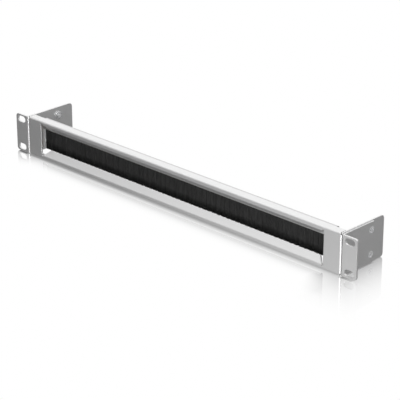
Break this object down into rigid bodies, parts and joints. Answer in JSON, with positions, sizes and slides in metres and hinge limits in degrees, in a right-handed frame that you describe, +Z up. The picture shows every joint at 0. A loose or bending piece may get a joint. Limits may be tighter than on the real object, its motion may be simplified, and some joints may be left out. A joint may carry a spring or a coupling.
{
  "type": "rack brush strip panel",
  "caption": "Folded silver steel panel for a 19 inch rack, with a long window closed by black bristles that cables pass through, and an angle ear at each end.",
  "frame": {"origin": "middle of the four rack slots, on the rear faces of the ears that meet the rack posts", "axes": "+X to the right along the panel seen from the front, +Y from the front face to the back, +Z up"},
  "size_m": [0.4826, 0.0625, 0.0436],
  "materials": {
    "silver_coat": "satin metallic silver powder coat on folded sheet steel",
    "rolled_steel": "bright galvanised rolled steel",
    "black_nylon": "fine straight nylon filaments, flat trimmed",
    "zinc_steel": "clear zinc plated steel",
    "copper_flash_steel": "copper flashed steel weld stud"
  },
  "bodies": {
    "root": {"front_bezel": "silver_coat", "rack_ear_left": "silver_coat", "rack_ear_right": "silver_coat", "brush_carrier": "silver_coat", "carrier_end_left": "silver_coat", "carrier_end_right": "silver_coat", "brush_channel": "rolled_steel", "brush_core_wire": "rolled_steel", "bristle_row": "black_nylon", "ear_screw_left_upper": "zinc_steel", "clinch_nut_left_upper": "zinc_steel", "weld_stud_left_upper": "copper_flash_steel", "stud_nut_left_upper": "zinc_steel", "ear_screw_left_lower": "zinc_steel", "clinch_nut_left_lower": "zinc_steel", "weld_stud_left_lower": "copper_flash_steel", "stud_nut_left_lower": "zinc_steel", "ear_screw_right_upper": "zinc_steel", "clinch_nut_right_upper": "zinc_steel", "weld_stud_right_upper": "copper_flash_steel", "stud_nut_right_upper": "zinc_steel", "ear_screw_right_lower": "zinc_steel", "clinch_nut_right_lower": "zinc_steel", "weld_stud_right_lower": "copper_flash_steel", "stud_nut_right_lower": "zinc_steel"}
  },
  "joints": []
}
